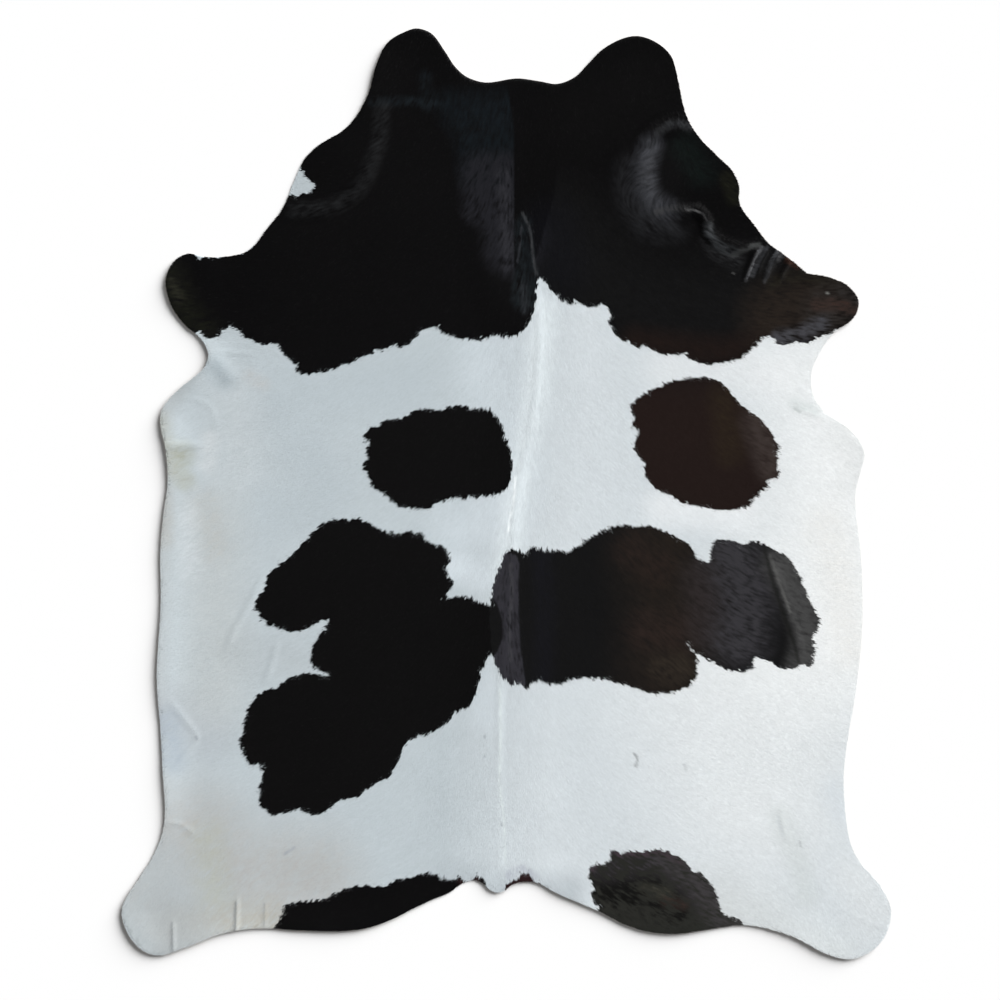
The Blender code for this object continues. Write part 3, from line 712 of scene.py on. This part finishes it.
def coat_painter():
    """A function that gives each place's colour and whether the hair there is dark."""
    patches = [(depth_field(smooth_curve(patch.path, PATCH_STEPS, closed=True)), patch.colour)
               for patch in PATCHES]
    notches = [depth_field(smooth_curve(notch, PATCH_STEPS, closed=True)) for notch in NOTCHES.values()]

    def colour_of(points, direction):
        rng = np.random.default_rng(SEEDS["tufts"])
        throw = TUFT_THROW * noise(points, TUFTS[0][0], SEEDS["tufts"])
        places = points - direction * (throw + rng.normal(0.0, STRAY_THROW, len(points)))[:, None]
        ragged = sum(depth * noise(points, size, SEEDS["tufts"] + 1) for size, depth in TUFTS)
        streak = streaks(points, direction)
        grain = streak + BLOTCH_SHARE * noise(points, BLOTCH_SIZE, SEEDS["blotches"])
        blend = np.clip(0.5 + spine_side(points) / SPINE_BLEND, 0.0, 1.0)[:, None]
        white = np.array(WHITE_LEFT) * (1 - blend) + np.array(WHITE_RIGHT) * blend
        white = tinted(white, points, grain, WHITE_TINTS)
        dark = np.zeros((len(points), 3))
        is_dark = np.zeros(len(points), bool)
        for depth_of, colour in patches:
            inside = depth_of(places) + ragged > 0.0
            dark[inside] = colour
            is_dark |= inside
        dark = tinted(dark, points, grain, DARK_TINTS)
        for depth_of in notches:
            is_dark &= depth_of(places) + ragged < 0.0
        shade = 1.0 + STREAK_STRENGTH * streak + LOCK_STRENGTH * noise(points, LOCK_SIZE, SEEDS["locks"])
        return np.where(is_dark[:, None], dark, white) * shade[:, None], is_dark
    return colour_of


def streaks(points, direction):
    """Random numbers from about -1 to 1, drawn out along the hair."""
    steps = (np.arange(STREAK_SAMPLES) - STREAK_SAMPLES // 2) * STREAK_STEP
    total = sum(noise(points + direction * step, STREAK_SIZE, SEEDS["streaks"]) for step in steps)
    return total * STREAK_GAIN


def hair_roots(outline, depth_of, rng):
    low, high = outline.min(axis=0), outline.max(axis=0)
    x, y = (np.arange(low[axis], high[axis], HAIR_SPACING) for axis in (0, 1))
    roots = np.stack(np.meshgrid(x, y), -1).reshape(-1, 2)
    roots += rng.uniform(-0.5, 0.5, roots.shape) * HAIR_SPACING
    return roots[depth_of(roots) > ROOT_INSET]


def lying_lengths(roots, direction, depth_of, rng):
    """How long each hair is, shorter where it would hang far past the hem or cut through a fold."""
    count = len(roots)
    length = rng.uniform(*HAIR_LENGTH, count)
    root_depth, tip_depth = depth_of(roots), depth_of(roots + direction * length[:, None])
    overhang = rng.uniform(*HEM_OVERHANG, count)
    fits = (root_depth + overhang) / np.maximum(root_depth - tip_depth, TINY)
    length *= np.where(tip_depth < -overhang, np.clip(fits, 0.0, 1.0), 1.0)
    heights = [hide_height(place, np.maximum(depth_of(place), 0.0))
               for place in (roots + direction * (length * share)[:, None] for share in (0.0, 0.5, 1.0))]
    sag = heights[1] - (heights[0] + heights[2]) / 2
    return length * np.sqrt(np.clip(MAX_SAG / np.maximum(sag, TINY), LEAST_SAG_SHARE, 1.0))


def hair_blades(outline, depth_of, colour_of):
    """Corners (hair, corner, xyz), colours (hair, corner, rgb) and darkness of every hair."""
    rng = np.random.default_rng(SEEDS["hairs"])
    roots = hair_roots(outline, depth_of, rng)
    count = len(roots)
    flow = hair_direction(roots)
    turn = np.radians(rng.normal(0.0, HAIR_ANGLE_SPREAD, count))
    direction = np.column_stack((flow[:, 0] * np.cos(turn) - flow[:, 1] * np.sin(turn),
                                 flow[:, 0] * np.sin(turn) + flow[:, 1] * np.cos(turn)))
    length = lying_lengths(roots, direction, depth_of, rng)[:, None]
    tips = roots + direction * length
    half = 0.5 * rng.uniform(*HAIR_WIDTH, count)
    across = np.column_stack((-direction[:, 1], direction[:, 0])) * half[:, None]
    roll = half * np.sin(np.radians(rng.normal(0.0, HAIR_ROLL, count)))
    floor = hide_height(roots, depth_of(roots)) + LEATHER_THICKNESS - ROOT_DEPTH
    rise = hide_height(tips, np.maximum(depth_of(tips), 0.0)) + LEATHER_THICKNESS
    rise += rng.uniform(*HAIR_RISE, count)
    corners = np.stack((np.column_stack((roots - across, floor - roll)),
                        np.column_stack((roots + across, floor + roll)),
                        np.column_stack((tips, rise))), axis=1)
    colour, is_dark = colour_of(roots + direction * length * SEEN_SHARE, flow)
    colour = colour * rng.normal(1.0, HAIR_VARIATION, count)[:, None]
    colours = np.stack((colour * ROOT_SHADE, colour * ROOT_SHADE, colour), axis=1)
    return corners, colours, is_dark


def paint(mesh, colours):
    """Store a linear colour on each vertex."""
    layer = mesh.color_attributes.new("coat_colour", "FLOAT_COLOR", "POINT")
    alpha = np.ones((len(colours), 1))
    layer.data.foreach_set("color", np.hstack((colours, alpha)).astype(np.float32).ravel())


def blade_mesh(name, corners, colours, is_dark, materials):
    """One triangle for each hair."""
    count = len(corners)
    mesh = bpy.data.meshes.new(name)
    mesh.vertices.add(3 * count)
    mesh.vertices.foreach_set("co", (corners * MM).astype(np.float32).ravel())
    mesh.loops.add(3 * count)
    mesh.loops.foreach_set("vertex_index", np.arange(3 * count, dtype=np.int32))
    mesh.polygons.add(count)
    mesh.polygons.foreach_set("loop_start", np.arange(0, 3 * count, 3, dtype=np.int32))
    for material in materials:
        mesh.materials.append(material)
    mesh.polygons.foreach_set("material_index", is_dark.astype(np.int32))
    mesh.update(calc_edges=True)
    paint(mesh, colours.reshape(-1, 3))
    plan = corners[:, :, :2].reshape(-1, 2)
    low, high = plan.min(axis=0), plan.max(axis=0)
    layer = mesh.uv_layers.new(name="OFBake")
    layer.data.foreach_set("uv", ((plan - low) / (high - low)).astype(np.float32).ravel())
    piece = bpy.data.objects.new(name, mesh)
    bpy.context.scene.collection.objects.link(piece)
    return piece


def coat_pieces(outline, depth_of, colour_of):
    """The coat in six pieces: left and right, each in three bands with as many hairs."""
    corners, colours, is_dark = hair_blades(outline, depth_of, colour_of)
    materials = [painted_material("white_coat", WHITE_GLOSS, HAIR_MOTTLE),
                 painted_material("dark_coat", DARK_GLOSS, HAIR_MOTTLE)]
    root = corners[:, 0]
    pieces = []
    for side, on_side in (("left", spine_side(root) < 0.0), ("right", spine_side(root) >= 0.0)):
        edges = np.quantile(root[on_side, 1], (0.0, 1 / 3, 2 / 3, 1.0))
        edges[0] -= 1.0  # takes in the lowest root
        for band, low, high in zip(("rump", "back", "neck"), edges, edges[1:]):
            chosen = on_side & (root[:, 1] > low) & (root[:, 1] <= high)
            pieces.append(blade_mesh(f"coat_{band}_{side}", corners[chosen], colours[chosen],
                                     is_dark[chosen], materials))
    return pieces


# ---- materials ----

def new_material(name, roughness, specular):
    material = bpy.data.materials.new(name)
    material.use_nodes = True
    shader = material.node_tree.nodes["Principled BSDF"]
    shader.inputs["Roughness"].default_value = roughness
    shader.inputs["Specular IOR Level"].default_value = specular
    return material, material.node_tree, shader


def add_noise(tree, scale, low, high):
    """Noise on the object's own coordinates, mapped to a range."""
    place = tree.nodes.new("ShaderNodeTexCoord")
    grain = tree.nodes.new("ShaderNodeTexNoise")
    grain.inputs["Scale"].default_value = scale
    grain.inputs["Detail"].default_value = NOISE_DETAIL
    tree.links.new(place.outputs["Object"], grain.inputs["Vector"])
    span = tree.nodes.new("ShaderNodeMapRange")
    span.inputs["To Min"].default_value = low
    span.inputs["To Max"].default_value = high
    tree.links.new(grain.outputs["Fac"], span.inputs["Value"])
    return span.outputs["Result"]


def painted_colour(tree, shader, variation):
    """The vertex colour, a little lighter and darker by fine noise."""
    paint_node = tree.nodes.new("ShaderNodeVertexColor")
    paint_node.layer_name = "coat_colour"
    scale = tree.nodes.new("ShaderNodeVectorMath")
    scale.operation = "SCALE"
    tree.links.new(paint_node.outputs["Color"], scale.inputs[0])
    mottle = add_noise(tree, MOTTLE_SCALE, 1.0 - variation, 1.0 + variation)
    tree.links.new(mottle, scale.inputs["Scale"])
    tree.links.new(scale.outputs["Vector"], shader.inputs["Base Color"])


def painted_material(name, gloss, variation):
    """Hair, or the leather between its roots, in the painted colour."""
    material, tree, shader = new_material(name, *gloss)
    painted_colour(tree, shader, variation)
    return material


def grainy_material(look):
    """A colour that varies between two by noise, with a bump of the same grain."""
    material, tree, shader = new_material(look.name, look.roughness, GRAIN_SPECULAR)
    grain = add_noise(tree, look.scale, 0.0, 1.0)
    mix = tree.nodes.new("ShaderNodeMix")
    mix.data_type = "RGBA"
    for socket, colour in zip(("A", "B"), look.colours):
        entry = [item for item in mix.inputs if item.name == socket and item.type == "RGBA"][0]
        entry.default_value = (*colour, 1.0)
    tree.links.new(grain, mix.inputs["Factor"])
    blend = [item for item in mix.outputs if item.type == "RGBA"][0]
    tree.links.new(blend, shader.inputs["Base Color"])
    bump = tree.nodes.new("ShaderNodeBump")
    bump.inputs["Distance"].default_value = look.bump_height * MM
    tree.links.new(grain, bump.inputs["Height"])
    tree.links.new(bump.outputs["Normal"], shader.inputs["Normal"])
    return material


# ---- floor, light and camera ----

def make_floor():
    mesh = bpy.data.meshes.new("floor")
    square = ((-1, -1), (1, -1), (1, 1), (-1, 1))
    mesh.from_pydata([(x * FLOOR_REACH, y * FLOOR_REACH, -FLOOR_DROP) for x, y in square], [],
                     [(0, 1, 2, 3)])
    material, _tree, shader = new_material("plain_floor", *FLOOR_GLOSS)
    shader.inputs["Base Color"].default_value = FLOOR_COLOUR
    mesh.materials.append(material)
    floor = bpy.data.objects.new("floor", mesh)
    bpy.context.scene.collection.objects.link(floor)


def make_lights():
    """A soft low light from the upper right, and an even light from all round."""
    key = bpy.data.lights.new("key", "SUN")
    key.energy = SUN_STRENGTH
    key.angle = math.radians(SUN_SPREAD)
    lamp = bpy.data.objects.new("key", key)
    lamp.rotation_euler = Vector(SUN_TOWARDS).to_track_quat("Z", "Y").to_euler()
    bpy.context.scene.collection.objects.link(lamp)
    world = bpy.data.worlds.new("studio")
    bpy.context.scene.world = world
    world.use_nodes = True
    sky = world.node_tree.nodes["Background"]
    sky.inputs["Color"].default_value = SKY_COLOUR
    sky.inputs["Strength"].default_value = SKY_STRENGTH


def make_camera():
    """Straight overhead, with the neck up, as in the photograph."""
    data = bpy.data.cameras.new("camera")
    data.sensor_width = SENSOR
    data.lens = SENSOR * CAMERA_HEIGHT / VIEW_WIDTH
    camera = bpy.data.objects.new("camera", data)
    camera.location = (*VIEW_CENTRE, CAMERA_HEIGHT)
    bpy.context.scene.collection.objects.link(camera)
    bpy.context.scene.camera = camera


def main():
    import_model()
    bpy.context.scene.view_settings.view_transform = "Standard"
    make_floor()
    make_lights()
    make_camera()
    outline = smooth_curve(sum(OUTLINE.values(), ()), CURVE_STEPS, closed=True)
    outline -= (outline.min(axis=0) + outline.max(axis=0)) / 2
    depth_of = depth_field(outline)
    colour_of = coat_painter()
    leather = hide_leather(outline, depth_of, colour_of)
    coat = coat_pieces(outline, depth_of, colour_of)
    for piece in (leather, *coat):
        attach(piece, "root")
    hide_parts("hide")


main()
